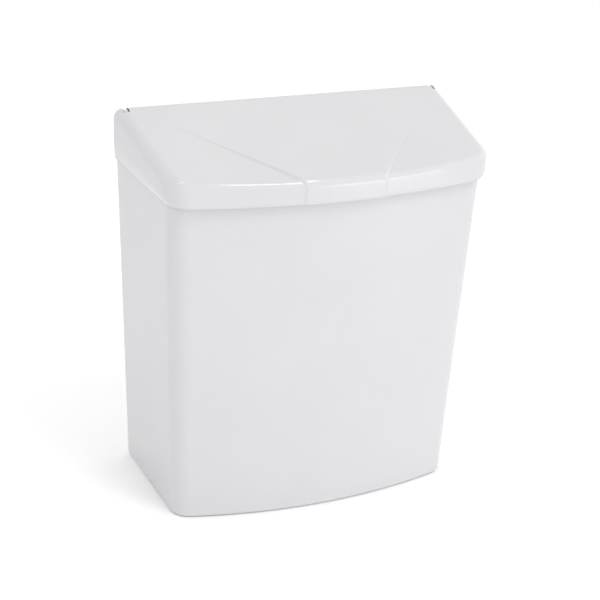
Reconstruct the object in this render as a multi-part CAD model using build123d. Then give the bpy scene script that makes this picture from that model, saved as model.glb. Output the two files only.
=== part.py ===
from build123d import *
import os
from math import cos, radians, sin, tan

# Wall-hung waste bin with a lift-out liner and a sloping hinged lid.
# Millimetres. X runs along the wall, -Y points into the room, +Z is up.
# The origin is in the middle of the footprint, on the underside.

# ---- overall sizes
WIDTH = 273.0            # over the lid's side cheeks, at the wall
DEPTH = 137.0            # from the wall to the front of the grip panel
HEIGHT = 303.0           # from the underside to the top of the hinge barrel

# ---- lid
LID_WALL = 2.5
LID_SLOPE = 11.0         # degrees that the top falls towards the front
LID_BACK_GAP = 5.0       # from the wall to the lid's rear edge
LID_SKIRT_DROP = 41.0    # from the barrel's top down to the level skirt edge
LID_BOW = 17.2           # how far the front stands out in the middle
LID_CLOSING = 7.2        # how much narrower each side is at the front
LID_CORNER_R = 22.0
LID_EDGE_R = 5.0
LID_INNER_EDGE_R = 1.0

# ---- grip panel: a wedge that stands proud of the lid and fades out towards the hinge
PANEL_PROUD = 1.0        # in front of the lip
PANEL_RISE = 1.6         # above the top, at the front
PANEL_FRONT_HALF = 31.0
PANEL_REAR_HALF = 116.0
PANEL_REAR_DEPTH = 24.0  # from the wall to where the wedge meets the top
PANEL_RUN_IN = 4.0       # how far the wedge runs on, buried in the top

# ---- hinge
BARREL_R = 6.0
BARREL_BORE_R = 3.5
BARREL_BOSS_LENGTH = 8.0
PIN_R = 2.0
PIN_CLEARANCE = 0.05
PIN_END_GAP = 0.3
PIN_GRIP = 6.0           # how far the pin reaches into the barrel
EAR_BORE_DEPTH = 3.0
LUG_THICKNESS = 3.5
LUG_R = 5.0
LUG_SIDE_GAP = 0.5
LUG_FOOT_HEIGHT = 14.0   # of the wedge under the lug, below the rim
LUG_FOOT_REACH = 4.0     # how far the wedge stands out in front of the lug
LUG_SINK = 2.0           # how far the lug's plate runs down into its foot
NOTCH_GAP = 0.8          # around the lug's rounded head

# ---- body
BODY_WALL = 2.5
FLOOR = 2.5
RIM_DROP = 29.0          # from the barrel's top down to the rim
SIDE_GAP = 0.8           # between the body and the lid's cheeks, at the rim
FRONT_GAP = 2.0          # between the body and the lid's front lip, at the rim
SIDE_DRAFT = 10.7        # how much narrower each side is at the base
FRONT_DRAFT = 4.0        # how much shallower the base is
BODY_BOW_BASE = 16.9
BODY_CLOSING_BASE = 5.0
BODY_CORNER_R_RIM = 18.0
BODY_CORNER_R_BASE = 16.5
BODY_REAR_R = 3.0
BODY_BASE_R = 2.5
INNER_REAR_R = 1.0
BACK_RISE_GAP = 2.0      # from the hinge axis down to the top of the back wall

# ---- wall fixing
TAPE_THICKNESS = 1.0
TAPE_WIDTH = 25.0
TAPE_LENGTH = 150.0
TAPE_HALF_SPACING = 45.0
TAPE_CENTRE_Z = 150.0
TAPE_CORNER_R = 2.0
SCREW_HOLE_R = 2.75
SCREW_SPACING_X = 160.0
SCREW_SPACING_Z = 140.0
SCREW_CENTRE_Z = 150.0
SCREW_BOSS_R = 9.0
SCREW_BOSS_HEIGHT = 2.0

# ---- bumpers: rubber clips pushed over the front rim
BUMPER_X = 70.0
BUMPER_LENGTH = 16.0
BUMPER_GRIP = 6.0        # how far the clip reaches down the wall
BUMPER_OUTER_LEG = 1.2
BUMPER_INNER_LEG = 1.5
BUMPER_TOP_GAP = 0.15

# ---- liner, bag and bag frame: insets are measured from the body's outer face
LINER_INSET = 9.0
LINER_BACK_GAP = 12.0    # from the wall to the liner's rear face
LINER_WALL = 1.8
LINER_RIM_DROP = 18.0    # from the body's rim down to the liner's
LINER_FLANGE = 3.0
LINER_FLANGE_THICKNESS = 2.0
LINER_REAR_R = 12.0
HAND_SLOT_LENGTH = 56.0
HAND_SLOT_HEIGHT = 14.0
HAND_SLOT_DROP = 20.0    # from the liner's rim down to the middle of the slots
BAG_GAP = 0.3            # between the film and the liner's floor, rim and flange
BAG_SLACK = 3.0          # between the film and the liner's walls
BAG_FILM = 0.5
BAG_CUFF_DROP = 12.0
FRAME_GAP = 0.3
FRAME_THICKNESS = 2.5
FRAME_WALL = 1.8
FRAME_SKIRT = 12.0

OVERRUN = 10.0           # how far a cutting solid runs past what it cuts

# ---- worked out from the above
WALL_Y = DEPTH / 2
SKIRT_Z = HEIGHT - LID_SKIRT_DROP
AXIS_Z = HEIGHT - BARREL_R
RIM_Z = HEIGHT - RIM_DROP
LINER_RIM_Z = RIM_Z - LINER_RIM_DROP
HAND_SLOT_Z = LINER_RIM_Z - HAND_SLOT_DROP
AXIS_DEPTH = LID_BACK_GAP + BARREL_R
LID_FRONT = DEPTH - PANEL_PROUD
BODY_HALF_RIM = WIDTH / 2 - LID_WALL - SIDE_GAP
BODY_FRONT_RIM = LID_FRONT - LID_WALL - FRONT_GAP
BODY_INNER_BACK = TAPE_THICKNESS + BODY_WALL
LUG_ROOT_DEPTH = TAPE_THICKNESS + BODY_WALL / 2
LUG_OUTER_X = BODY_HALF_RIM - BODY_WALL - LUG_SIDE_GAP
LUG_INNER_X = LUG_OUTER_X - LUG_THICKNESS
BARREL_END_X = LUG_INNER_X - LUG_SIDE_GAP
EAR_INNER_X = LUG_OUTER_X + LUG_SIDE_GAP
BAG_CUFF_INSET = LINER_INSET - LINER_FLANGE - BAG_GAP
BAG_INSET = LINER_INSET + LINER_WALL + BAG_SLACK
BAG_TOP_Z = LINER_RIM_Z + BAG_GAP + BAG_FILM
FRAME_INSET = BAG_INSET + BAG_FILM + FRAME_GAP


def y_at(depth):
    """Y of a point that is this far from the wall."""
    return WALL_Y - depth


def top_z(depth, offset=0.0):
    """Height of the lid's sloping top, moved along its normal by offset."""
    level = AXIS_Z + (BARREL_R + offset) / cos(radians(LID_SLOPE))
    return level - (depth - AXIS_DEPTH) * tan(radians(LID_SLOPE))


def plan(half_rear, half_front, front, bow, corner_r, rear, rear_r):
    """Plan outline: straight back, sides that close in towards a bowed front."""
    rear_left, rear_right = (-half_rear, y_at(rear)), (half_rear, y_at(rear))
    front_left = (-half_front, y_at(front - bow))
    front_right = (half_front, y_at(front - bow))
    outline = Curve() + [
        Line(rear_left, front_left),
        ThreePointArc(front_left, (0, y_at(front)), front_right),
        Line(front_right, rear_right),
        Line(rear_right, rear_left),
    ]
    face = make_face(outline)
    face = fillet(face.vertices().sort_by(Axis.Y)[:2], corner_r)
    if rear_r == 0:
        return face
    return fillet(face.vertices().sort_by(Axis.Y)[-2:], rear_r)


def body_plan(z, inset, rear, rear_r):
    """The body's plan outline at a height, drawn in by inset on the front and sides."""
    up = z / RIM_Z
    half = BODY_HALF_RIM - SIDE_DRAFT * (1 - up) - inset
    closing = BODY_CLOSING_BASE + (LID_CLOSING - BODY_CLOSING_BASE) * up
    front = BODY_FRONT_RIM - FRONT_DRAFT * (1 - up) - inset
    bow = BODY_BOW_BASE + (LID_BOW - BODY_BOW_BASE) * up
    corner_r = BODY_CORNER_R_BASE + (BODY_CORNER_R_RIM - BODY_CORNER_R_BASE) * up - inset
    outline = plan(half, half - closing, front, bow, max(corner_r, 1.0), rear, rear_r)
    return Pos(0, 0, z) * outline


def drafted(z_low, z_high, inset, rear, rear_r):
    """A solid between two heights that follows the body's drafted walls."""
    low = body_plan(z_low, inset, rear, rear_r)
    high = body_plan(z_high, inset, rear, rear_r)
    return loft([low, high], ruled=True)


def liner_solid(z_low, z_high, inset):
    """A drafted solid of the liner's family: the rear face moves in with the sides."""
    shift = inset - LINER_INSET
    return drafted(z_low, z_high, inset, LINER_BACK_GAP + shift, LINER_REAR_R - shift)


def lug(side):
    """One hinge lug: a plate with a rounded head that stands on its foot."""
    base_z = RIM_Z - LUG_SINK
    points = [
        (y_at(LUG_ROOT_DEPTH), base_z),
        (y_at(AXIS_DEPTH + LUG_R), base_z),
        (y_at(AXIS_DEPTH + LUG_R), AXIS_Z),
        (y_at(AXIS_DEPTH - LUG_R), AXIS_Z),
        (y_at(LUG_ROOT_DEPTH), AXIS_Z - BACK_RISE_GAP),
    ]
    outline = make_face(Polyline(*points, close=True))
    head = Pos(y_at(AXIS_DEPTH), AXIS_Z) * Circle(LUG_R)
    x_low = LUG_INNER_X if side > 0 else -LUG_OUTER_X
    return Pos(x_low, 0, 0) * extrude(Plane.YZ * (outline + head), LUG_THICKNESS)


def lug_foot(side):
    """Wedge in the body's rear corner that ties a lug to the back and side walls."""
    reach = BODY_HALF_RIM - BODY_WALL / 2 - LUG_INNER_X
    points = [
        (y_at(LUG_ROOT_DEPTH), RIM_Z - LUG_FOOT_HEIGHT),
        (y_at(AXIS_DEPTH + LUG_R + LUG_FOOT_REACH), RIM_Z),
        (y_at(LUG_ROOT_DEPTH), RIM_Z),
    ]
    foot = extrude(Plane.YZ * make_face(Polyline(*points, close=True)), reach)
    x_low = LUG_INNER_X if side > 0 else -LUG_INNER_X - reach
    return Pos(x_low, 0, 0) * foot


def pin_solid(x_low, x_high, radius):
    """A round bar on the hinge axis between two X positions."""
    middle = Pos((x_low + x_high) / 2, y_at(AXIS_DEPTH), AXIS_Z)
    return middle * Rot(0, 90, 0) * Cylinder(radius, x_high - x_low)


def screw_places():
    """The four screw centres in the back wall, as X and Z."""
    return [
        (i * SCREW_SPACING_X / 2, SCREW_CENTRE_Z + k * SCREW_SPACING_Z / 2)
        for i in (-1, 1)
        for k in (-1, 1)
    ]


def across_wall(x, z, depth_low, depth_high, radius):
    """A round solid square to the wall, between two distances from it."""
    middle = Pos(x, y_at((depth_low + depth_high) / 2), z)
    return middle * Rot(90, 0, 0) * Cylinder(radius, depth_high - depth_low)


def body_shell():
    """Casing: drafted shell with a floor, a raised back, hinge lugs and screw bosses."""
    outer = drafted(0, RIM_Z, 0, TAPE_THICKNESS, BODY_REAR_R)
    outer = fillet(outer.faces().sort_by(Axis.Z)[0].edges(), BODY_BASE_R)
    hollow = drafted(FLOOR, RIM_Z + OVERRUN, BODY_WALL, BODY_INNER_BACK, INNER_REAR_R)
    shell = outer - hollow
    rise_top = AXIS_Z - BACK_RISE_GAP
    rise_low = RIM_Z - OVERRUN
    rise = Box(2 * LUG_INNER_X + LUG_THICKNESS, BODY_WALL, rise_top - rise_low)
    shell += Pos(0, y_at(TAPE_THICKNESS + BODY_WALL / 2), (rise_top + rise_low) / 2) * rise
    for side in (-1, 1):
        shell += lug_foot(side)
        shell += lug(side)
    shell -= pin_solid(-WIDTH / 2, WIDTH / 2, PIN_R)
    for x, z in screw_places():
        shell += across_wall(x, z, TAPE_THICKNESS, BODY_INNER_BACK + SCREW_BOSS_HEIGHT, SCREW_BOSS_R)
    for x, z in screw_places():
        shell -= across_wall(x, z, 0, BODY_INNER_BACK + SCREW_BOSS_HEIGHT + OVERRUN, SCREW_HOLE_R)
    return shell


def lid_half(depth):
    """Half the lid's width at this distance from the wall; it is widest at the hinge."""
    return WIDTH / 2 - LID_CLOSING * (depth - AXIS_DEPTH) / (LID_FRONT - LID_BOW - AXIS_DEPTH)


def lid_plan(inset, front, rear):
    """The lid's plan outline, drawn in by inset on the sides."""
    half_rear = lid_half(rear) - inset
    half_front = lid_half(LID_FRONT - LID_BOW) - inset
    return plan(half_rear, half_front, front, LID_BOW, LID_CORNER_R - inset, rear, 0)


def lid_block(inset, z_low, edge_r):
    """The lid's outer form, or its hollow, drawn in by inset all round."""
    outline = lid_plan(inset, LID_FRONT - inset, -OVERRUN)
    column = Pos(0, 0, z_low) * extrude(outline, HEIGHT + OVERRUN - z_low)
    radius = BARREL_R - inset
    slope = radians(LID_SLOPE)
    tangent = (y_at(AXIS_DEPTH) + radius * -sin(slope), AXIS_Z + radius * cos(slope))
    crown = (y_at(AXIS_DEPTH) + radius * sin(radians(45)), AXIS_Z + radius * sin(radians(45)))
    back = (y_at(AXIS_DEPTH - radius), AXIS_Z)
    front_y = y_at(DEPTH + OVERRUN)
    side = Curve() + [
        Line((front_y, z_low), (back[0], z_low)),
        Line((back[0], z_low), back),
        ThreePointArc(back, crown, tangent),
        Line(tangent, (front_y, top_z(DEPTH + OVERRUN, -inset))),
        Line((front_y, top_z(DEPTH + OVERRUN, -inset)), (front_y, z_low)),
    ]
    profile = extrude(Plane.YZ * make_face(side), WIDTH / 2, both=True)
    block = column & profile
    top = block.faces().filter_by(GeomType.PLANE).sort_by(Axis.Z)[-1]
    roll = block.faces().filter_by(GeomType.CYLINDER).sort_by(Axis.Y)[-1]
    rear = block.faces().filter_by(GeomType.PLANE).sort_by(Axis.Y)[-1]
    rim = ShapeList(top.edges() + roll.edges() + rear.edges()).filter_by(Axis.X, reverse=True)
    return fillet(rim, edge_r)


def grip_panel():
    """Wedge on the lid's top and lip, wide at the hinge and narrow at the lip."""
    run = LID_FRONT - PANEL_REAR_DEPTH
    flare = (PANEL_REAR_HALF - PANEL_FRONT_HALF) / run
    rear = PANEL_REAR_DEPTH - PANEL_RUN_IN
    rear_half = PANEL_REAR_HALF + flare * PANEL_RUN_IN
    nose = DEPTH + OVERRUN
    nose_half = PANEL_FRONT_HALF - flare * (nose - LID_FRONT)
    wedge_plan = make_face(Polyline(
        (-rear_half, y_at(rear)), (rear_half, y_at(rear)),
        (nose_half, y_at(nose)), (-nose_half, y_at(nose)), close=True))
    outline = lid_plan(0, DEPTH, LID_BACK_GAP)
    tall = HEIGHT + OVERRUN - SKIRT_Z
    column = extrude(Pos(0, 0, SKIRT_Z) * outline, tall) & extrude(Pos(0, 0, SKIRT_Z) * wedge_plan, tall)
    rise_per_depth = PANEL_RISE / run
    rear_top = top_z(rear) - rise_per_depth * PANEL_RUN_IN
    nose_top = top_z(nose) + rise_per_depth * (nose - PANEL_REAR_DEPTH)
    side = make_face(Polyline(
        (y_at(rear), SKIRT_Z), (y_at(rear), rear_top),
        (y_at(nose), nose_top), (y_at(nose), SKIRT_Z), close=True))
    panel = column & extrude(Plane.YZ * side, WIDTH / 2, both=True)
    top = panel.faces().filter_by(GeomType.PLANE).sort_by(Axis.Z)[-1]
    return fillet(top.edges().sort_by(Axis.Y)[0], LID_EDGE_R)


def lid_shell():
    """Lid: sloping shell with side cheeks, front lip, grip panel and hinge barrel."""
    block = lid_block(0, SKIRT_Z, LID_EDGE_R) + grip_panel()
    hollow = lid_block(LID_WALL, SKIRT_Z - OVERRUN, LID_INNER_EDGE_R)
    rear_cut = Box(WIDTH - 2 * LID_WALL, 2 * AXIS_DEPTH, AXIS_Z - SKIRT_Z + OVERRUN)
    hollow += Pos(0, WALL_Y, (AXIS_Z + SKIRT_Z - OVERRUN) / 2) * rear_cut
    hollow -= pin_solid(-WIDTH / 2, WIDTH / 2, BARREL_R)
    lid = block - hollow
    tube_half = BARREL_END_X - BARREL_BOSS_LENGTH
    lid -= pin_solid(-tube_half, tube_half, BARREL_BORE_R)
    bore_x = EAR_INNER_X + EAR_BORE_DEPTH
    lid -= pin_solid(-bore_x, bore_x, PIN_R + PIN_CLEARANCE)
    notch_depth = AXIS_DEPTH + LUG_R + NOTCH_GAP
    notch_x = (EAR_INNER_X + BARREL_END_X) / 2
    notch = Box(EAR_INNER_X - BARREL_END_X, notch_depth, 2 * BARREL_R + LID_SKIRT_DROP)
    for side in (-1, 1):
        lid -= Pos(side * notch_x, y_at(notch_depth / 2), AXIS_Z) * notch
    return lid


def hinge_pin(side):
    """Steel pin held in a lug, with its ends in the lid's barrel and ear."""
    inner = BARREL_END_X - PIN_GRIP
    outer = EAR_INNER_X + EAR_BORE_DEPTH - PIN_END_GAP
    pin = pin_solid(inner, outer, PIN_R)
    return pin if side > 0 else mirror(pin, Plane.YZ)


def lid_bumper(side):
    """Rubber clip over the front rim; the lid's underside closes on its top."""
    wall = drafted(0, RIM_Z, 0, TAPE_THICKNESS, BODY_REAR_R)
    wall -= drafted(FLOOR, RIM_Z + OVERRUN, BODY_WALL, BODY_INNER_BACK, INNER_REAR_R)
    front = BODY_FRONT_RIM + BUMPER_OUTER_LEG
    top = top_z(front, -LID_WALL) - BUMPER_TOP_GAP
    low = RIM_Z - BUMPER_GRIP
    band = drafted(low, top, -BUMPER_OUTER_LEG, TAPE_THICKNESS, BODY_REAR_R)
    band -= drafted(low - 1, top + 1, BODY_WALL + BUMPER_INNER_LEG, BODY_INNER_BACK, INNER_REAR_R)
    window = Box(BUMPER_LENGTH, DEPTH / 2, 2 * HEIGHT)
    return (band & Pos(side * BUMPER_X, y_at(DEPTH), 0) * window) - wall


def inner_liner():
    """Rigid lift-out bucket that stands on the body's floor."""
    liner = liner_solid(FLOOR, LINER_RIM_Z, LINER_INSET)
    liner += liner_solid(LINER_RIM_Z - LINER_FLANGE_THICKNESS, LINER_RIM_Z, LINER_INSET - LINER_FLANGE)
    liner -= liner_solid(FLOOR + LINER_WALL, LINER_RIM_Z + OVERRUN, LINER_INSET + LINER_WALL)
    middle = (LINER_BACK_GAP + BODY_FRONT_RIM - LID_BOW) / 2
    slot = Box(WIDTH, HAND_SLOT_LENGTH, HAND_SLOT_HEIGHT)
    slot = fillet(slot.edges().filter_by(Axis.X), HAND_SLOT_HEIGHT / 2 - 1)
    return liner - Pos(0, y_at(middle), HAND_SLOT_Z) * slot


def waste_bag():
    """Film bag inside the liner, with its cuff turned down over the liner's rim."""
    floor_z = FLOOR + LINER_WALL + BAG_GAP
    bag = liner_solid(floor_z, BAG_TOP_Z, BAG_INSET)
    cuff_low = BAG_TOP_Z - BAG_CUFF_DROP
    cuff = liner_solid(cuff_low, BAG_TOP_Z, BAG_CUFF_INSET - BAG_FILM)
    cuff -= liner_solid(cuff_low - 1, LINER_RIM_Z + BAG_GAP, BAG_CUFF_INSET)
    bag += cuff
    return bag - liner_solid(floor_z + BAG_FILM, BAG_TOP_Z + OVERRUN, BAG_INSET + BAG_FILM)


def bag_frame():
    """Ring that lies on the bag's cuff, with a skirt that holds the bag to the liner."""
    low = BAG_TOP_Z
    ring = liner_solid(low, low + FRAME_THICKNESS, LINER_INSET - LINER_FLANGE)
    ring += liner_solid(low - FRAME_SKIRT, low + FRAME_THICKNESS, FRAME_INSET)
    return ring - liner_solid(low - FRAME_SKIRT - 1, low + FRAME_THICKNESS + 1, FRAME_INSET + FRAME_WALL)


def tape_pad(side):
    """Double-sided foam tape strip between the body's back and the wall."""
    pad = Box(TAPE_WIDTH, TAPE_THICKNESS, TAPE_LENGTH)
    pad = fillet(pad.edges().filter_by(Axis.Y), TAPE_CORNER_R)
    return Pos(side * TAPE_HALF_SPACING, y_at(TAPE_THICKNESS / 2), TAPE_CENTRE_Z) * pad


def main():
    os.makedirs("parts", exist_ok=True)
    nodes = {
        "body_shell": body_shell(),
        "lid_shell": lid_shell(),
        "inner_liner": inner_liner(),
        "waste_bag": waste_bag(),
        "bag_frame": bag_frame(),
    }
    for side, name in ((-1, "left"), (1, "right")):
        nodes["hinge_pin_" + name] = hinge_pin(side)
        nodes["lid_bumper_" + name] = lid_bumper(side)
        nodes["tape_pad_" + name] = tape_pad(side)
    for name, solid in nodes.items():
        export_step(solid, "parts/" + name + ".step")


main()
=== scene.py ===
"""Builds the looks of a wall-mounted waste bin: casing, lid, liner, bag, bag frame and a studio.

Every piece is a surface worked out with numpy from the bin's own sizes. Lengths inside the script are
millimetres, as on a maker's drawing, and become metres when a mesh is made. "Depth" is the distance
from the wall towards the room, so it runs along -Y.
"""

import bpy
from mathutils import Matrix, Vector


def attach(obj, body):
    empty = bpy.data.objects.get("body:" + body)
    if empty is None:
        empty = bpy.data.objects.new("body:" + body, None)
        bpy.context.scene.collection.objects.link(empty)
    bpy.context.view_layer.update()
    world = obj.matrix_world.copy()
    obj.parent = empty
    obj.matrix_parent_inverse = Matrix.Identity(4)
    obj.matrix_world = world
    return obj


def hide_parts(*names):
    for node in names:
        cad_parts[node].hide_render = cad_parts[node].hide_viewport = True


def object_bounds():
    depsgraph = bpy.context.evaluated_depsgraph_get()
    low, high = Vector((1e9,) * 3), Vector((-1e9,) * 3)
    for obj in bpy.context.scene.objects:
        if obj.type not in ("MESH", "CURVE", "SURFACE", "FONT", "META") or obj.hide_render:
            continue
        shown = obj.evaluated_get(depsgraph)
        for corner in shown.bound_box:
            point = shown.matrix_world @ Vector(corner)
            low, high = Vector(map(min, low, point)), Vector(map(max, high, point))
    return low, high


bl_info = {
    "name": "Wall-mounted waste bin",
    "version": (1, 0, 0),
    "blender": (4, 5, 0),
    "location": "View3D > Sidebar > Waste bin",
    "description": "Builds the casing, lid, liner, bag and studio of a wall-mounted waste bin",
    "category": "Object",
}

from math import cos, pi, radians, sin, tan

import bpy
import numpy as np
from bpy.props import FloatProperty, FloatVectorProperty, PointerProperty
from mathutils import Matrix, Vector

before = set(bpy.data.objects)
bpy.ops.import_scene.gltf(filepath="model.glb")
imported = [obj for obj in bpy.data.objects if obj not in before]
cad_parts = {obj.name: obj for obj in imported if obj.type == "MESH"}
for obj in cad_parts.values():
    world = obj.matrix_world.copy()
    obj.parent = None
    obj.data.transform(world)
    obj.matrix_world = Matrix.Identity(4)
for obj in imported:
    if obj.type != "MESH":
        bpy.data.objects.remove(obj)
CAD_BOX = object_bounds()

MM = 0.001
WALL_Y = CAD_BOX[1][1] / MM
HEIGHT = CAD_BOX[1][2] / MM
HALF_WIDTH = CAD_BOX[1][0] / MM

# ---- casing
BODY_WALL = 2.5
RIM_Z = 274.0
BODY_HALF = HALF_WIDTH - 3.3    # the lid's cheek and a gap of 0.8
BODY_FRONT = 131.5
BODY_BACK = 1.0                 # the tape's thickness
SIDE_DRAFT = 10.7
FRONT_DRAFT = 4.0
BODY_CLOSING = (5.0, 2.2)       # at the base, and what is added up to the rim
BODY_BOW = (16.9, 0.3)
BODY_CORNER_R = (16.5, 1.5)
BODY_REAR_R = 3.0
INNER_REAR_R = 1.0
LEAST_REAR_R = 0.3
INNER_FLOOR_R = 2.0
RIM_BAND = 12.0                 # below the rim, without stations of its own
BACK_RISE_GAP = 2.0             # from the hinge axis down to the raised back
LUG_INNER_X = 126.7
LUG_OUTER_X = 130.2
LUG_R = 5.0
LUG_FOOT_Z = 260.0
LUG_FOOT_REACH = 4.0
LUG_SINK = 2.0
SINK = 1.0                      # how far a boss starts inside its wall
RISE_STEP_X = 128.45
SCREW_X = 80.0
SCREW_Z = (80.0, 220.0)
SCREW_HOLE_R = 2.75
SCREW_BOSS_R = 9.0
SCREW_BOSS_HEIGHT = 2.0

# ---- lid
LID_WALL = 2.5
LID_SLOPE = radians(11.0)
LID_FRONT = 136.0
LID_BACK = 5.0
LID_BOW = 17.2
LID_CLOSING = 7.2
LID_CORNER_R = 22.0
LID_REAR_R = 3.0
LID_LOW_Z = 262.0
TUCK_HEIGHT = (20.0, 5.0)       # of the cheeks' tucked edge, at the back and at the front
TUCK_DEPTHS = (8, 118)
LIP_TUCK = 0.5
LIP_TUCK_HEIGHT = 2.0
HOLLOW_REAR_R = 1.6
HOLLOW_EDGE_R = 1.5
HOLLOW_CLEAR = 0.05
AXIS_Z = HEIGHT - 6.0
AXIS_DEPTH = 11.0
BARREL_R = 6.0
BARREL_END_X = 126.2
BARREL_SINK = 0.03              # keeps the barrel's surface just under the lid's
BARREL_EASE = 0.3
EAR_INNER_X = 130.7
EAR_BORE_X = 133.7
EAR_ROUND_X = 134.3
EAR_END_X = 134.6
EAR_END_EASE = 0.6
PIN_BORE_R = 2.05
NOTCH_DEPTH = 16.8
PANEL_FRONT_HALF = 31.0
PANEL_REAR_DEPTH = 24.0
PANEL_FLARE = 85.0 / 112.0      # how fast the panel widens towards the hinge
CREASE_CLEAR = 2.4              # from a crease's middle to the next plain station
FRONT_CREASE_SHIFT = 0.75
REAR_CREASE_SHIFT = -0.6
CREASE_STEPS = np.array([-1.7, -1.3, -0.95, -0.62, -0.3, 0, 0.3, 0.62, 0.95, 1.3, 1.7])
ACROSS = 5                      # faces from the outline to the crease beside it

# ---- liner, bag and bag frame, as insets from the casing's outer face
LINER_INSET = 9.0
LINER_BACK = 12.0
LINER_WALL = 1.8
LINER_RIM_Z = 256.0
LINER_FLANGE = 3.0
LINER_FLANGE_THICK = 2.0
LINER_FLOOR = (2.5, 4.3)        # heights of its underside and of its inner floor
LINER_FOOT_R = 4.0
LINER_INNER_R = 3.0
LINER_REAR_R = 12.0
EASE = 0.4                      # of the flange's edges
HAND_SLOT = (236.0, 56.0, 14.0, 6.0)    # height, length, opening and corner radius
BAG_INSET = 13.8
BAG_TOP_Z = 256.8
CUFF_INSET = 5.3
CUFF_DROP = 12.0
FRAME_TOP_Z = 259.3
FRAME_INSET = 14.6
FRAME_WALL = 1.8
FRAME_SKIRT = 12.0
FOLD_WAVES = ((9, 1.3, 1.0), (17, -2.1, 0.8), (31, 3.4, 0.5), (46, -5.2, 0.35), (71, 7.0, 0.2))
FOLD_SUM = 2.85                 # of the waves' sizes
FOLD_MEAN = 0.25
BAG_CENTRE_DEPTH = 60.0
BAG_FLOOR_Z = 6.0
BAG_FOOT_R = 8.0


# ---------------- shapes


def top_z(depth):
    """Height of the lid's sloping top: the plane that touches the hinge barrel and falls to the front."""
    touch = AXIS_DEPTH + BARREL_R * sin(LID_SLOPE)
    return AXIS_Z + BARREL_R * cos(LID_SLOPE) - (depth - touch) * tan(LID_SLOPE)


def at(x, depth, z):
    """Points in millimetres from x, the distance from the wall and the height."""
    x, depth, z = np.broadcast_arrays(x, depth, z)
    return np.stack([x, WALL_Y - depth, z], axis=-1)


def body_form(z, inset):
    """Sizes of the casing's plan outline at height z, drawn in by inset on its sides and front.

    Every size is a straight line in z between the base and the rim, so the walls are ruled.
    """
    up = np.minimum(z, RIM_Z) / RIM_Z
    half = BODY_HALF - SIDE_DRAFT * (1 - up) - inset
    closing = BODY_CLOSING[0] + BODY_CLOSING[1] * up
    bow = BODY_BOW[0] + BODY_BOW[1] * up
    corner = np.maximum(BODY_CORNER_R[0] + BODY_CORNER_R[1] * up - inset, 1.0)
    front = BODY_FRONT - FRONT_DRAFT * (1 - up) - inset
    return half, half - closing, front, bow, corner


def ring(form, rear, rear_r, spread):
    """Closed plan outline that runs anticlockwise, seen from above, from the middle of the front.

    The side is a straight line that closes in towards the front. The front is the arc through its
    middle and its two ends. The front corner is the circle of the given radius inside both, so its
    centre lies that radius from the side and as much less than the arc's radius from the arc's
    centre. Stations are spread over each stretch by fractions. The sizes are columns with one row
    for each height. Returns x, depth and the two parts of the outward normal, rows by stations.
    """
    half_rear, half_front, front, bow, corner_r = (np.atleast_1d(v)[:, None] for v in form)
    rear, rear_r = np.atleast_1d(rear)[:, None], np.atleast_1d(rear_r)[:, None]
    closing = (half_rear - half_front) / (front - bow - rear)
    lean = np.sqrt(1 + closing**2)
    big = (half_front**2 + bow**2) / (2 * bow)
    hub = front - big
    reach = half_rear + closing * rear - corner_r * lean
    qb = reach * closing + hub
    qc = reach**2 + hub**2 - (big - corner_r) ** 2
    centre_d = (qb + np.sqrt(qb**2 - lean**2 * qc)) / lean**2
    centre_x = reach - closing * centre_d
    high = np.arctan2(centre_d - hub, centre_x)
    low = np.arctan(closing)

    front_x = big * np.cos(high) * spread["front"]
    front_d = hub + np.sqrt(big**2 - front_x**2)
    turn = high + (low - high) * spread["corner"]
    heel_d = rear + rear_r
    heel_x = half_rear - closing * rear_r - rear_r * lean
    side_from = centre_d + corner_r * np.sin(low)
    side_to = heel_d + rear_r * np.sin(low)
    side_d = side_from + (side_to - side_from) * spread["side"]
    side_x = half_rear - closing * (side_d - rear)
    heel = low - (pi / 2 + low) * spread["heel"]
    back_x = heel_x * (1 - spread["back"])
    ones = np.ones_like(back_x)
    x = [front_x, centre_x + corner_r * np.cos(turn), side_x, heel_x + rear_r * np.cos(heel), back_x]
    d = [front_d, centre_d + corner_r * np.sin(turn), side_d, heel_d + rear_r * np.sin(heel), rear * ones]
    nx = [front_x / big, np.cos(turn), np.cos(low) * np.ones_like(side_d), np.cos(heel), 0 * ones]
    nd = [(front_d - hub) / big, np.sin(turn), np.sin(low) * np.ones_like(side_d), np.sin(heel), -ones]
    halves = [np.concatenate(part, axis=1) for part in (x, d, nx, nd)]
    return [np.concatenate([h, s * h[:, -2:0:-1]], axis=1) for h, s in zip(halves, (-1, 1, -1, 1))]


def fractions(count, last=True, power=1.0):
    """Fractions from 0 to 1, closer together near 0 where power is above 1."""
    return np.linspace(0, 1, count, endpoint=last) ** power


def quads(grid):
    """Faces between the neighbours of an array of point numbers, rows by columns."""
    corners = (grid[:-1, :-1], grid[:-1, 1:], grid[1:, 1:], grid[1:, :-1])
    return np.stack(corners, axis=-1).reshape(-1, 4)


def around(rows, stations, start=0):
    """Point numbers of stacked closed rings, with the first station repeated at the end."""
    grid = start + np.arange(rows * stations).reshape(rows, stations)
    return np.concatenate([grid, grid[:, :1]], axis=1)


def welded(points, faces, caps=()):
    """Joins points that fall together and drops the faces or corners that vanish with them."""
    points = points.reshape(-1, 3)
    spots, number = np.unique(np.round(points, 4), axis=0, return_inverse=True)
    number = number.reshape(-1)
    faces = number[faces]
    kept = faces != np.roll(faces, 1, axis=1)
    count = kept.sum(axis=1)
    shapes = faces[count == 4].tolist()
    thirds = count == 3
    shapes += faces[thirds][kept[thirds]].reshape(-1, 3).tolist()
    for cap in caps:
        loop = number[cap]
        shapes.append(loop[loop != np.roll(loop, 1)].tolist())
    return spots, shapes


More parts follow.
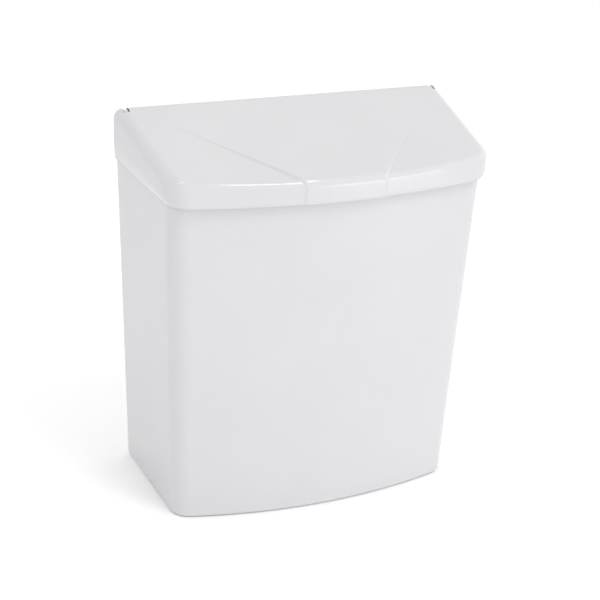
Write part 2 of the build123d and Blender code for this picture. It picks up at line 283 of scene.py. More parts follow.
def outward(shell):
    """The shell with its faces turned so that it encloses a positive volume."""
    points, faces = shell
    volume = 0.0
    for size in {len(f) for f in faces}:
        loops = points[np.array([f for f in faces if len(f) == size])]
        fans = np.cross(loops[:, 1:-1], loops[:, 2:])
        volume += np.einsum("ik,ijk->", loops[:, 0], fans)
    return (points, faces) if volume > 0 else (points, [f[::-1] for f in faces])


def stacked(rows):
    """A closed shell from a stack of rings, with a flat face on the first and on the last."""
    count, stations = rows.shape[:2]
    grid = around(count, stations)
    return outward(welded(rows, quads(grid), (grid[0, :-1][::-1], grid[-1, :-1])))


def looped(rows):
    """A closed shell from rings carried round a closed profile."""
    count, stations = rows.shape[:2]
    grid = around(count, stations)
    return outward(welded(rows, quads(np.concatenate([grid, grid[:1]]))))


def turned(profile, centre, axis, steps=64, closed=True):
    """A shell turned about an axis: each profile point is a distance along it and a radius."""
    along, radius = np.array(profile, float).T
    angle = np.linspace(0, 2 * pi, steps, endpoint=False)
    a, b = radius[:, None] * np.cos(angle), radius[:, None] * np.sin(angle)
    line = np.broadcast_to(along[:, None], a.shape)
    if axis == "X":
        rows = at(centre[0] + line, centre[1] + a, centre[2] + b)
    else:
        rows = at(centre[0] + a, centre[1] + line, centre[2] + b)
    return looped(rows) if closed else stacked(rows)


def slab(outline, x_low, x_high):
    """A plate between two X positions with the given outline of depths and heights."""
    depth, z = np.array(outline, float).T
    return stacked(np.stack([at(x, depth, z) for x in (x_low, x_high)]))


def arc(centre, radius, start, end, count):
    """Points on a circle, as pairs, from one angle to another in degrees."""
    angle = np.radians(np.linspace(start, end, count))
    return list(zip(centre[0] + radius * np.cos(angle), centre[1] + radius * np.sin(angle)))


def rounded_slot(centre, length, height, radius):
    """Outline of a rectangle with round corners, as depths and heights."""
    points = []
    for k, (i, j) in enumerate(((1, 1), (-1, 1), (-1, -1), (1, -1))):
        corner = (centre[0] + i * (length / 2 - radius), centre[1] + j * (height / 2 - radius))
        points += arc(corner, radius, 90 * k, 90 * k + 90, 8)
    return points


# ---------------- meshes and finishes


def mesh_object(name, shells):
    """One mesh object at the origin from a list of shells in millimetres."""
    points, faces, start = [], [], 0
    for spots, shapes in shells:
        points.append(spots * MM)
        faces += [[start + k for k in shape] for shape in shapes]
        start += len(spots)
    mesh = bpy.data.meshes.new(name)
    mesh.from_pydata(np.concatenate(points).tolist(), [], faces)
    mesh.validate()
    piece = bpy.data.objects.new(name, mesh)
    bpy.context.scene.collection.objects.link(piece)
    return piece


def carved(piece, tools):
    """The piece with each tool's shape taken out of it, as plain mesh."""
    for tool in tools:
        cut = piece.modifiers.new("cut", "BOOLEAN")
        cut.object, cut.operation, cut.solver = tool, "DIFFERENCE", "EXACT"
    bpy.context.view_layer.update()
    graph = bpy.context.evaluated_depsgraph_get()
    piece.data = bpy.data.meshes.new_from_object(piece.evaluated_get(graph))
    piece.modifiers.clear()
    for tool in tools:
        bpy.data.objects.remove(tool)
    if not piece.data.polygons:
        raise RuntimeError(piece.name + " came out empty after its cuts")
    return piece


def joined(piece, shells):
    """The piece with more shells of the same moulding added to its mesh."""
    mesh = piece.data
    spots = np.empty(len(mesh.vertices) * 3)
    mesh.vertices.foreach_get("co", spots)
    shapes = [list(face.vertices) for face in mesh.polygons]
    name = piece.name
    bpy.data.objects.remove(piece)
    return mesh_object(name, [(spots.reshape(-1, 3) / MM, shapes)] + shells)


def finished(piece, material, body, replaces, sharp=32):
    """Shades the piece, gives it its material and sets it on its body in place of its CAD nodes."""
    mesh = piece.data
    mesh.shade_smooth()
    mesh.set_sharp_from_angle(angle=radians(sharp))
    mesh.materials.clear()
    mesh.materials.append(material)
    even = piece.modifiers.new("even shading", "WEIGHTED_NORMAL")
    even.mode, even.weight, even.keep_sharp = "FACE_AREA", 50, True
    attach(piece, body)
    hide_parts(*replaces)
    return piece


def linear(code):
    """Linear colour with alpha from an sRGB hex value such as F2F2F0."""
    parts = [int(code.lstrip("#")[k:k + 2], 16) / 255 for k in (0, 2, 4)]
    return [v / 12.92 if v <= 0.04045 else ((v + 0.055) / 1.055) ** 2.4 for v in parts] + [1.0]


def add(tree, kind, settings=(), **links):
    """Adds a node, sets its properties and sockets, and links sockets to other nodes' outputs.

    A link's name is the socket's name with _ for each space, and its value is an output socket.
    """
    node = tree.nodes.new(kind)
    for name, value in dict(settings).items():
        if hasattr(node, name):
            setattr(node, name, value)
        else:
            node.inputs[name].default_value = value
    for name, source in links.items():
        tree.links.new(source, node.inputs[name.replace("_", " ")])
    return node


def new_material(name):
    """An empty node material, its shader and the object's own coordinates in metres."""
    material = bpy.data.materials.new(name)
    material.use_nodes = True
    tree = material.node_tree
    tree.nodes.clear()
    shader = add(tree, "ShaderNodeBsdfPrincipled")
    add(tree, "ShaderNodeOutputMaterial", Surface=shader.outputs["BSDF"])
    place = add(tree, "ShaderNodeTexCoord").outputs["Object"]
    return material, tree, shader, place


def noise(tree, place, size_mm, detail=2.0, roughness=0.5, stretch=(1, 1, 1)):
    """Noise whose lumps are about size_mm across, stretched along the axes if asked."""
    if stretch != (1, 1, 1):
        place = add(tree, "ShaderNodeMapping", {"Scale": stretch}, Vector=place).outputs["Vector"]
    settings = {"Scale": 1 / (size_mm * MM), "Detail": detail, "Roughness": roughness}
    return add(tree, "ShaderNodeTexNoise", settings, Vector=place).outputs["Fac"]


def between(tree, factor, low, high):
    """A number that runs from low to high as factor goes from 0.3 to 0.7, the span noise fills."""
    settings = {"From Min": 0.3, "From Max": 0.7, "To Min": low, "To Max": high}
    return add(tree, "ShaderNodeMapRange", settings, Value=factor).outputs["Result"]


def tinted(tree, factor, first, second):
    """A colour between two hex colours."""
    mix = add(tree, "ShaderNodeMix", {"data_type": "RGBA"})
    for socket, colour in (("A", first), ("B", second)):
        found = [s for s in mix.inputs if s.name == socket and s.type == "RGBA"][0]
        found.default_value = colour
    tree.links.new(factor, mix.inputs["Factor"])
    return [s for s in mix.outputs if s.type == "RGBA"][0]


def dress(tree, shader, **sockets):
    """Links the shader's sockets to outputs or sets them to plain values, _ standing for a space."""
    for name, value in sockets.items():
        socket = shader.inputs[name.replace("_", " ")]
        if isinstance(value, bpy.types.NodeSocket):
            tree.links.new(value, socket)
        else:
            socket.default_value = value


def bump(tree, shader, height, distance_mm, strength=1.0):
    """Gives the shader a relief from a height pattern."""
    node = add(tree, "ShaderNodeBump", {"Strength": strength, "Distance": distance_mm * MM}, Height=height)
    tree.links.new(node.outputs["Normal"], shader.inputs["Normal"])


def shade(colour, amount):
    """The colour made lighter or darker by a factor."""
    return [min(v * amount, 1.0) for v in colour[:3]] + [1.0]


def moulded_abs(colour):
    """Glossy white ABS, injection moulded in a polished tool.

    The eye sees a bright even white with sharp reflections, broken only by a faint orange peel
    some 9 mm across, by shrinkage over the thick places, and by a little grime in the finish.
    """
    material, tree, shader, place = new_material("moulded_white_abs")
    drift = noise(tree, place, 70.0, detail=3.0)
    haze = noise(tree, place, 22.0, detail=5.0, roughness=0.6)
    peel = noise(tree, place, 9.0, detail=1.0)
    tone = tinted(tree, between(tree, drift, 0.0, 1.0), shade(colour, 0.985), shade(colour, 1.01))
    dress(tree, shader, Base_Color=tone, Roughness=between(tree, haze, 0.07, 0.12), IOR=1.54,
          Subsurface_Weight=0.06, Subsurface_Radius=(1.0, 0.95, 0.9), Subsurface_Scale=0.002)
    bump(tree, shader, peel, 0.02, 0.6)
    return material


def textured_polypropylene(colour):
    """Grey polypropylene, injection moulded in a spark-eroded tool.

    The fine spark texture, drawn at 0.8 mm, spreads the highlights into a satin sheen.
    """
    material, tree, shader, place = new_material("textured_grey_polypropylene")
    grain = noise(tree, place, 0.8, detail=2.0)
    flow = noise(tree, place, 60.0, detail=3.0, stretch=(1, 1, 0.4))
    tone = tinted(tree, between(tree, flow, 0.0, 1.0), shade(colour, 0.95), shade(colour, 1.04))
    dress(tree, shader, Base_Color=tone, Roughness=between(tree, grain, 0.42, 0.52), IOR=1.49)
    bump(tree, shader, grain, 0.03, 0.7)
    return material


def blown_film(colour):
    """White polythene film, blown and heat sealed.

    Thin film shows as a milky skin with bright broken glints on its creases, and light comes through.
    """
    material, tree, shader, place = new_material("blown_polythene_film")
    crease = add(tree, "ShaderNodeTexVoronoi", {"feature": "DISTANCE_TO_EDGE", "Scale": 1 / (14 * MM)},
                 Vector=place).outputs["Distance"]
    crinkle = noise(tree, place, 7.0, detail=4.0, roughness=0.6)
    height = add(tree, "ShaderNodeMath", {"operation": "ADD"})
    tree.links.new(between(tree, crinkle, 0.0, 1.0), height.inputs[0])
    tree.links.new(crease, height.inputs[1])
    thick = noise(tree, place, 35.0, detail=2.0, stretch=(1, 1, 0.2))
    tone = tinted(tree, between(tree, thick, 0.0, 1.0), shade(colour, 0.93), shade(colour, 1.03))
    dress(tree, shader, Base_Color=tone, Roughness=between(tree, thick, 0.24, 0.36), IOR=1.51,
          Subsurface_Weight=0.3, Subsurface_Radius=(1.0, 1.0, 1.0), Subsurface_Scale=0.003)
    bump(tree, shader, height.outputs[0], 0.5, 0.8)
    return material


def drawn_steel(colour):
    """Stainless steel wire, drawn and cut: bright, with fine lines along its length."""
    material, tree, shader, place = new_material("drawn_steel")
    lines = noise(tree, place, 0.3, detail=3.0, stretch=(0.05, 1, 1))
    tone = tinted(tree, between(tree, lines, 0.0, 1.0), shade(colour, 0.85), colour)
    dress(tree, shader, Base_Color=tone, Metallic=1.0, Roughness=between(tree, lines, 0.26, 0.40))
    bump(tree, shader, lines, 0.01, 0.5)
    return material


def moulded_rubber(colour):
    """EPDM rubber, compression moulded: matt, with a fine bloom of dust and a 0.6 mm grain."""
    material, tree, shader, place = new_material("moulded_rubber")
    grain = noise(tree, place, 0.6, detail=3.0)
    bloom = noise(tree, place, 6.0, detail=4.0)
    tone = tinted(tree, between(tree, bloom, 0.0, 1.0), colour, shade(colour, 1.5))
    dress(tree, shader, Base_Color=tone, Roughness=between(tree, grain, 0.62, 0.78))
    bump(tree, shader, grain, 0.05, 0.6)
    return material


def cut_foam(colour):
    """Closed-cell polythene foam tape, slit from sheet: chalky, with cells about 0.7 mm across."""
    material, tree, shader, place = new_material("cut_foam_tape")
    cells = add(tree, "ShaderNodeTexVoronoi", {"Scale": 1 / (0.7 * MM)}, Vector=place)
    cells = cells.outputs["Distance"]
    tone = tinted(tree, cells, shade(colour, 0.9), colour)
    dress(tree, shader, Base_Color=tone, Roughness=0.8)
    bump(tree, shader, cells, 0.15, 0.7)
    return material


def studio_paper(colour):
    """Seamless background paper: matt, nearly white, with a faint pulp mottle 3 mm across."""
    material, tree, shader, place = new_material("seamless_paper")
    pulp = noise(tree, place, 3.0, detail=3.0)
    tone = tinted(tree, between(tree, pulp, 0.0, 1.0), shade(colour, 0.992), colour)
    dress(tree, shader, Base_Color=tone, Roughness=0.9)
    bump(tree, shader, pulp, 0.05, 0.2)
    return material


def repaint(node, material):
    """Shows a carried-over CAD node in a better material, without touching its mesh."""
    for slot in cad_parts[node].material_slots:
        slot.link = "OBJECT"
        slot.material = material


# ---------------- properties


def length(name, description, default, low, high):
    """A length in metres with its limits."""
    return FloatProperty(name=name, description=description, default=default, min=low, max=high,
                         unit="LENGTH")


def tint(name, description, code):
    """A colour that starts at an sRGB hex value."""
    return FloatVectorProperty(name=name, description=description, subtype="COLOR", size=4,
                               default=linear(code), min=0, max=1)


class LidShape(bpy.types.PropertyGroup):
    side_round: length(
        "Side edge radius", "Soft round between the top and the cheeks", 0.009, 0.004, 0.012)
    front_round: length(
        "Front edge radius", "Round between the top and the front lip", 0.005, 0.002, 0.008)
    tuck: length(
        "Cheek tuck", "How far the cheeks' lower edge turns in towards the casing", 0.0023, 0.0, 0.0024)
    panel_rise: length(
        "Grip panel rise", "How far the panel stands above the top at the front", 0.0016, 0.0, 0.003)
    panel_proud: length(
        "Grip panel stand-off", "How far the panel stands out of the front lip", 0.001, 0.0, 0.001)
    crease: length(
        "Crease width", "Width of the step along the panel's two edges", 0.0022, 0.0005, 0.004)


class CasingShape(bpy.types.PropertyGroup):
    base_round: length(
        "Base edge radius", "Round between the walls and the underside", 0.0025, 0.001, 0.006)
    rim_round: length("Rim edge radius", "Round on both edges of the rim", 0.0006, 0.0002, 0.0012)


class BagShape(bpy.types.PropertyGroup):
    fold_depth: length("Fold depth", "How deep the film's folds are", 0.0035, 0.0, 0.006)
    film: length("Film thickness", "Thickness of the film as drawn", 0.0003, 0.0001, 0.0005)


class Finishes(bpy.types.PropertyGroup):
    shell: tint("Shell", "Colour of the casing and the lid", "C7C7C8")
    liner: tint("Liner", "Colour of the liner and the bag frame", "B9BDC1")
    film: tint("Bag film", "Colour of the bag", "E6E8E8")
    steel: tint("Steel", "Colour of the hinge pins", "C6C7C8")
    rubber: tint("Rubber", "Colour of the bumpers", "3A3B3D")
    foam: tint("Foam tape", "Colour of the tape pads", "E9E7E1")
    paper: tint("Studio paper", "Colour of the floor", "FEFEFE")


# ---------------- lid


def lid_form(inset):
    """Sizes of the lid's plan outline, drawn in by inset."""
    half = HALF_WIDTH - inset
    return half, half - LID_CLOSING, LID_FRONT - inset, LID_BOW, LID_CORNER_R - inset


def step_up(value):
    """Smooth step from 0 to 1 as value goes from 0 to 1."""
    value = np.clip(value, 0, 1)
    return value * value * (3 - 2 * value)


def panel_share(x, depth, width):
    """1 on the grip panel, 0 off it, with a smooth step of the given width along its creases."""
    edge = PANEL_FRONT_HALF + PANEL_FLARE * (LID_FRONT - depth)
    gap = (edge - np.abs(x)) / np.sqrt(1 + PANEL_FLARE**2)
    return step_up(0.5 + gap / width)


def lift_share(depth):
    """How much of the panel's rise is reached at a depth: none at its rear, all at the front."""
    return np.clip((depth - PANEL_REAR_DEPTH) / (LID_FRONT - PANEL_REAR_DEPTH), 0, 1.1)


def lid_outline(radii):
    """The lid's plan outline with, for each station, the edge's radius and where the top begins.

    The edge is the circle that touches both the wall and the sloping top, so it takes from each the
    same length, its radius times the tangent of half the angle it turns through. Stations lie close
    together about the creases, and those along the hinge line match the lines that reach it.
    """
    crease_x = PANEL_FRONT_HALF + FRONT_CREASE_SHIFT
    ends = {name: np.zeros(0) for name in ("corner", "side", "heel")}
    ends |= {"front": np.ones(1), "back": np.array([0.0, 1.0])}
    end_x, heel_x = ring(lid_form(0.0), LID_BACK, LID_REAR_R, ends)[0][0, :2]
    front = np.concatenate([np.linspace(0, crease_x - CREASE_CLEAR, 12), crease_x + CREASE_STEPS,
                            np.linspace(crease_x + CREASE_CLEAR, end_x, 18)]) / end_x
    side = np.concatenate([np.linspace(0, 0.88, 24), np.linspace(0.9, 1.0, 12)])
    spread = {"front": front, "corner": fractions(20, last=False)[1:], "side": side,
              "heel": fractions(9, last=False)[1:]}
    hinge_d = AXIS_DEPTH + BARREL_R * sin(LID_SLOPE)
    rear_crease = PANEL_FRONT_HALF + PANEL_FLARE * (LID_FRONT - hinge_d) + REAR_CREASE_SHIFT
    corner_x = heel_x - 1.0
    for _ in range(2):
        columns = np.concatenate([np.linspace(0, rear_crease - CREASE_CLEAR, 12),
                                  rear_crease + 0.5 * CREASE_STEPS])
        across = np.concatenate([columns[:-1], np.linspace(columns[-1], corner_x, ACROSS + 1),
                                 np.linspace(corner_x, heel_x, 4)[1:]])
        spread["back"] = 1 - across[::-1] / across[-1]
        x, d, nx, nd = (part[0] for part in ring(lid_form(0.0), LID_BACK, LID_REAR_R, spread))
        end_r = np.where(nd > -0.2, radii[1], BARREL_R)
        turn = np.arccos(nd * sin(LID_SLOPE))
        reach_in = (end_r * nd**2 + radii[0] * nx**2) * np.tan(turn / 2)
        inset = reach_in / np.sqrt(1 + (nd * tan(LID_SLOPE)) ** 2)
        beside = (nx > 0.9) & (d < 60)
        edge_d, edge_x = (d - inset * nd)[beside][::-1], (x - inset * nx)[beside][::-1]
        corner_x = np.interp(hinge_d, edge_d, edge_x)
    inner_d = np.where(nd < 0, hinge_d, np.maximum(d - inset * nd, hinge_d))
    slide = np.interp(np.abs(x), [0, 28, 36, end_x], [0, 1, 1, 0]) * (nd > 0) * PANEL_FLARE
    slide = slide * (d - inner_d)
    inner_x = np.clip(x - inset * nx + np.sign(x) * slide, -corner_x, corner_x)
    inner_x = np.where((inner_d <= hinge_d) & (nd > -0.99), np.sign(x) * corner_x, inner_x)
    reach = len(front) + len(spread["corner"]) + len(side) - 1
    sizes = {"columns": len(columns) - 1, "reach": reach}
    return x, d, nx, nd, turn, reach_in, inner_x, inner_d, sizes


def lid_outer(size):
    """The lid's outer form as one closed shell.

    Rings follow the plan outline. Going up, they turn out from the tucked lower edge along a
    parabola, climb straight, then bend over on the edge's circle, drawn as a rational quadratic
    curve. Straight lines cover the top: from the front edge to the hinge line between and along the
    creases, and from the rest of the outline to the crease beside it. The panel lifts the top by a
    height that grows evenly towards the front, and pushes the lip out.
    """
    x, d, nx, nd, turn, reach_in, inner_x, inner_d, sizes = lid_outline(
        (size.side_round / MM, size.front_round / MM))
    wall_top = top_z(d) - reach_in
    low = np.array([0, 0.12, 0.3, 0.5, 0.75, 1.0])[:, None]
    tall = np.interp(d, TUCK_DEPTHS, TUCK_HEIGHT) * nx**2 + LIP_TUCK_HEIGHT * nd**2
    tucked = (size.tuck / MM * nx**2 + LIP_TUCK * nd**2) * (1 - low) ** 2
    straight = np.array([1 / 3, 2 / 3, 1.0])[:, None]
    t = np.linspace(0, 1, 15)[1:, None]
    share = (1 - t) ** 2, 2 * np.cos(turn / 2) * t * (1 - t), t**2
    wall, peak, flat = (s / sum(share) for s in share)
    rows_x = np.concatenate([x - nx * tucked, x + 0 * straight, (1 - flat) * x + flat * inner_x])
    rows_d = np.concatenate([d - nd * tucked, d + 0 * straight, (1 - flat) * d + flat * inner_d])
    rows_z = np.concatenate([LID_LOW_Z + tall * low,
                             LID_LOW_Z + tall + (wall_top - LID_LOW_Z - tall) * straight,
                             wall * wall_top + peak * top_z(d) + flat * top_z(inner_d)])
    bend = np.concatenate([np.zeros(len(low) + len(straight)), t[:, 0]])[:, None] * pi / 2
    mask = panel_share(rows_x, rows_d, size.crease / MM) * (nd > 0)
    push = mask * np.cos(bend) * size.panel_proud / MM
    lift = mask * np.sin(bend) * lift_share(rows_d) * size.panel_rise / MM
    rows = at(rows_x + push * nx, rows_d + push * nd, rows_z + lift)
    edge = np.stack([rows_x[-1], rows_d[-1]], axis=-1)

    half, columns, reach = len(x) // 2, sizes["columns"], sizes["reach"]
    front, rear = edge[:columns + 1], edge[half - np.arange(columns + 1)]
    outer = edge[columns:reach + 1]
    along = np.concatenate([[0], np.cumsum(np.hypot(*np.diff(outer, axis=0).T))])
    along = (along / along[-1])[:, None, None]
    middle = front * (1 - along) + rear * along
    u = np.linspace(0, 1, ACROSS + 1)[None, :, None]
    wing = outer[:, None] * (1 - u) + middle[:, -1:] * u
    grids = []
    for plan in (middle, wing):
        plan_x, plan_d = plan[..., 0], plan[..., 1]
        lift = panel_share(plan_x, plan_d, size.crease / MM) * lift_share(plan_d)
        lift = lift * size.panel_rise / MM
        grids += [at(sign * plan_x, plan_d, top_z(plan_d) + lift) for sign in (1, -1)]
    turned_over = (True, False, False, True)
    points, faces = [rows.reshape(-1, 3)], [quads(around(*rows.shape[:2]))]
    start = rows.shape[0] * rows.shape[1]
    for grid, over in zip(grids, turned_over):
        numbers = start + np.arange(grid.shape[0] * grid.shape[1]).reshape(grid.shape[:2])
        points.append(grid.reshape(-1, 3))
        faces.append(quads(numbers if over else numbers[:, ::-1]))
        start += numbers.size
    base = np.arange(len(x))[::-1]
    return outward(welded(np.concatenate(points), np.concatenate(faces), (base,)))


def lid_hollow():
    """The space inside the lid, open below: rings of the inner outline that close under the top."""
    spread = {"front": fractions(40, last=False), "corner": fractions(16, last=False),
              "side": fractions(20, last=False), "heel": fractions(6, last=False), "back": fractions(12)}
    x, d, nx, nd = (part[0] for part in ring(lid_form(LID_WALL), AXIS_DEPTH, HOLLOW_REAR_R, spread))
    rows = [at(x, d, LID_LOW_Z - 8.0)]
    for angle in np.linspace(0, pi / 2, 5):
        inset = HOLLOW_EDGE_R * (1 - cos(angle))
        near_d = d - inset * nd
        roof = top_z(near_d) - LID_WALL / cos(LID_SLOPE) - HOLLOW_EDGE_R * (1 - sin(angle))
        rows.append(at(x - inset * nx, near_d, roof))
    return stacked(np.stack(rows))


def rear_opening():
    """The gap under the barrel through which the raised back of the casing stands."""
    closing = LID_CLOSING / (LID_FRONT - LID_BOW - LID_BACK)
    near, far = -6.0, AXIS_DEPTH + HOLLOW_REAR_R
    wide = HALF_WIDTH - LID_WALL - HOLLOW_CLEAR
    corners = []
    for side, depth in ((1, near), (1, far), (-1, far), (-1, near)):
        corners.append((side * (wide - closing * (depth - LID_BACK)), depth))
    x, d = np.array(corners).T
    return stacked(np.stack([at(x, d, LID_LOW_Z - 6.0), at(x, d, AXIS_Z)]))


def box_shell(x, depth, z):
    """A plain block between pairs of X, depth and height, for cutting."""
    corners = [(depth[0], z[0]), (depth[1], z[0]), (depth[1], z[1]), (depth[0], z[1])]
    return slab(corners, x[0], x[1])


def build_lid(size, finish):
    """Lid: outer form less its hollow and the two lug notches, with the barrel and the ears added."""
    lid = mesh_object("lid", [lid_outer(size)])
    hollow = mesh_object("hollow", [lid_hollow()])
    opening = mesh_object("opening", [rear_opening()])
    notches = mesh_object("notches", [
        box_shell(span, (-8.0, NOTCH_DEPTH), (LID_LOW_Z - 4.0, HEIGHT + 6.0))
        for span in ((BARREL_END_X, EAR_INNER_X), (-EAR_INNER_X, -BARREL_END_X))])
    lid = carved(lid, [hollow, opening, notches])
    r, bore, ease = BARREL_R - BARREL_SINK, PIN_BORE_R, BARREL_EASE
    centre = (0.0, AXIS_DEPTH, AXIS_Z)
    end = BARREL_END_X
    barrel = turned([(-end, bore), (-end, r - ease), (-end + ease, r), (end - ease, r), (end, r - ease),
                     (end, bore)], centre, "X", 72)
    fall = size.side_round / MM
    steps = np.linspace(EAR_INNER_X, EAR_ROUND_X, 9)
    drop = fall - np.sqrt(fall**2 - (steps - (HALF_WIDTH - 0.3 - fall)) ** 2)
    ears = []
    for side in (-1, 1):
        profile = [(side * EAR_BORE_X, 0.0), (side * EAR_BORE_X, bore), (side * EAR_INNER_X, bore)]
        profile += [(side * a, r - b) for a, b in zip(steps, drop)]
        profile += [(side * EAR_END_X, r - drop[-1] - EAR_END_EASE), (side * EAR_END_X, 0.0)]
        ears.append(turned(profile, centre, "X", 72))
    lid = joined(lid, [barrel] + ears)
    return finished(lid, moulded_abs(finish.shell), "lid", ["lid_shell"])


# ---------------- casing


def casing_spread():
    """Stations of the casing's outline, with a close pair where the back wall steps up."""
    step = np.array([RISE_STEP_X + 0.2, RISE_STEP_X - 0.2]) / (BODY_HALF - 3.0)
    back = np.concatenate([[0.0], 1 - step, np.linspace(0.05, 1, 24)])
    return {"front": fractions(44, last=False), "corner": fractions(24, last=False),
            "side": fractions(26, last=False), "heel": fractions(8, last=False), "back": back}


def casing_rows(z, inset, rear, rear_r, spread):
    """Rings of the casing's family at the given heights and insets."""
    z, inset = np.broadcast_arrays(np.atleast_1d(z).astype(float), inset)
    x, d, _, _ = ring(body_form(z, inset), rear, rear_r, spread)
    return x, d, np.broadcast_to(z[:, None], x.shape)


def build_casing(size, finish):
    """Casing: drafted shell with floor, raised back, hinge lugs and four bossed screw holes.

    Rings run up the outside from the underside, over the rounded rim and down the inside to the
    floor. Above the walls' common height only the back's stations climb on, to the hinge.
    """
    spread = casing_spread()
    base, rim = size.base_round / MM, size.rim_round / MM
    turn = np.linspace(0, pi / 2, 9)
    plans = []
    for s, c in zip(np.sin(turn), np.cos(turn)):
        plans.append((base * (1 - c), base * (1 - s), 0, 0.0))
    for z in np.linspace(base, RIM_Z - RIM_BAND, 12)[1:]:
        plans.append((z, 0.0, 0, 0.0))
    plans.append((RIM_Z - rim, 0.0, 0, 1.0))
    for s, c in zip(np.sin(turn[2::2]), np.cos(turn[2::2])):
        plans.append((RIM_Z - rim * (1 - s), rim * (1 - c), 0, 1.0))
    for s, c in zip(np.sin(turn[::-2]), np.cos(turn[::-2])):
        plans.append((RIM_Z - rim * (1 - s), -rim * (1 - c), 1, 1.0))
    for z in np.linspace(RIM_Z - RIM_BAND, BODY_WALL + INNER_FLOOR_R, 12)[:-1]:
        plans.append((z, 0.0, 1, 0.0))
    for s, c in zip(np.sin(turn), np.cos(turn)):
        plans.append((BODY_WALL + INNER_FLOOR_R * (1 - s), INNER_FLOOR_R * (1 - c), 1, 0.0))
    z, tuck, inside, top = np.array(plans).T
    inset = tuck + inside * BODY_WALL
    rear = BODY_BACK + inset
    rear_r = np.maximum(np.where(inside > 0, INNER_REAR_R, BODY_REAR_R) - tuck, LEAST_REAR_R)
    x, d, zz = casing_rows(z, inset, rear, rear_r, spread)
    raised = (d < BODY_BACK + BODY_WALL + 1.5) & (np.abs(x) < RISE_STEP_X + 0.05)
    rise = AXIS_Z - BACK_RISE_GAP - RIM_Z
    zz = zz + raised * (top[:, None] > 0) * rise
    casing = mesh_object("casing", [stacked(at(x, d, zz))])
    screws = [(side * SCREW_X, 0.0, height) for side in (-1, 1) for height in SCREW_Z]
    bore = [(-2.0, SCREW_HOLE_R), (9.0, SCREW_HOLE_R)]
    holes = [turned(bore, screw, "Y", 48, closed=False) for screw in screws]
    casing = carved(casing, [mesh_object("holes", holes)])
    inner = BODY_BACK + BODY_WALL
    tip = inner + SCREW_BOSS_HEIGHT
    boss = [(inner - SINK, SCREW_HOLE_R), (tip, SCREW_HOLE_R), (tip, SCREW_BOSS_R - 0.6),
            (tip - 0.2, SCREW_BOSS_R - 0.2), (tip - 0.6, SCREW_BOSS_R), (inner - SINK, SCREW_BOSS_R)]
    added = [turned(boss, screw, "Y", 64) for screw in screws]
    root = BODY_BACK + BODY_WALL / 2
    head = arc((AXIS_DEPTH, AXIS_Z), LUG_R, 0, 180, 24)
    lug = [(root, RIM_Z - LUG_SINK), (AXIS_DEPTH + LUG_R, RIM_Z - LUG_SINK)] + head
    lug += [(root, AXIS_Z - BACK_RISE_GAP)]
    foot_z = RIM_Z - 0.02       # just under the rim, so that no two faces share a plane
    foot = [(root, LUG_FOOT_Z), (AXIS_DEPTH + LUG_R + LUG_FOOT_REACH, foot_z), (root, foot_z)]
    wall_x = BODY_HALF - BODY_WALL / 2
    for side in (-1, 1):
        ends = sorted((side * LUG_INNER_X, side * LUG_OUTER_X))
        feet = sorted((side * LUG_INNER_X, side * wall_x))
        added += [slab(lug, *ends), slab(foot, *feet)]
    casing = joined(casing, added)
    return finished(casing, moulded_abs(finish.shell), "casing", ["body_shell"])


# ---------------- liner, bag and frame


def liner_rows(profile, spread):
    """Rings of the liner's family from a profile of insets and heights.

    The rear face and its corners move in with the sides.
    """
    inset, z = np.array(profile, float).T
    shift = inset - LINER_INSET
    rear_r = np.maximum(LINER_REAR_R - shift, 1.0)
    return casing_rows(z, inset, LINER_BACK + shift, rear_r, spread)


def plain_spread(count=1):
    """Even stations for the liner's family, count times as many as needed for smooth corners."""
    return {"front": fractions(30 * count, last=False), "corner": fractions(14 * count, last=False),
            "side": fractions(14 * count, last=False), "heel": fractions(12 * count, last=False),
            "back": fractions(24 * count)}


def build_liner(finish):
    """Liner: a drafted bucket with a flange round its rim and a rounded hand slot in each side."""
    out, top, edge = LINER_INSET, LINER_RIM_Z, LINER_INSET - LINER_FLANGE
    inner, under = LINER_INSET + LINER_WALL, LINER_RIM_Z - LINER_FLANGE_THICK
    r, s = LINER_FOOT_R, LINER_INNER_R
    profile = [(out + r * (1 - sin(a)), LINER_FLOOR[0] + r * (1 - cos(a)))
               for a in np.linspace(0, pi / 2, 8)]
    profile += [(out, z) for z in np.linspace(20, under - 0.6, 8)]
    profile += [(out - 0.2, under - 0.2), (out - 0.6, under), (edge + EASE, under), (edge, under + EASE),
                (edge, top - EASE), (edge + EASE, top), (inner - EASE, top), (inner, top - EASE)]
    profile += [(inner, z) for z in np.linspace(top - 6, 20, 8)]
    profile += [(inner + s * (1 - cos(a)), LINER_FLOOR[1] + s * (1 - sin(a)))
                for a in np.linspace(0, pi / 2, 6)]
    liner = mesh_object("liner", [stacked(at(*liner_rows(profile, plain_spread())))])
    middle = (LINER_BACK + BODY_FRONT - LID_BOW) / 2
    height, *sizes = HAND_SLOT
    slot = mesh_object("slot", [slab(rounded_slot((middle, height), *sizes), -150.0, 150.0)])
    liner = carved(liner, [slot])
    look = textured_polypropylene(finish.liner)
    return finished(liner, look, "liner", ["inner_liner"])


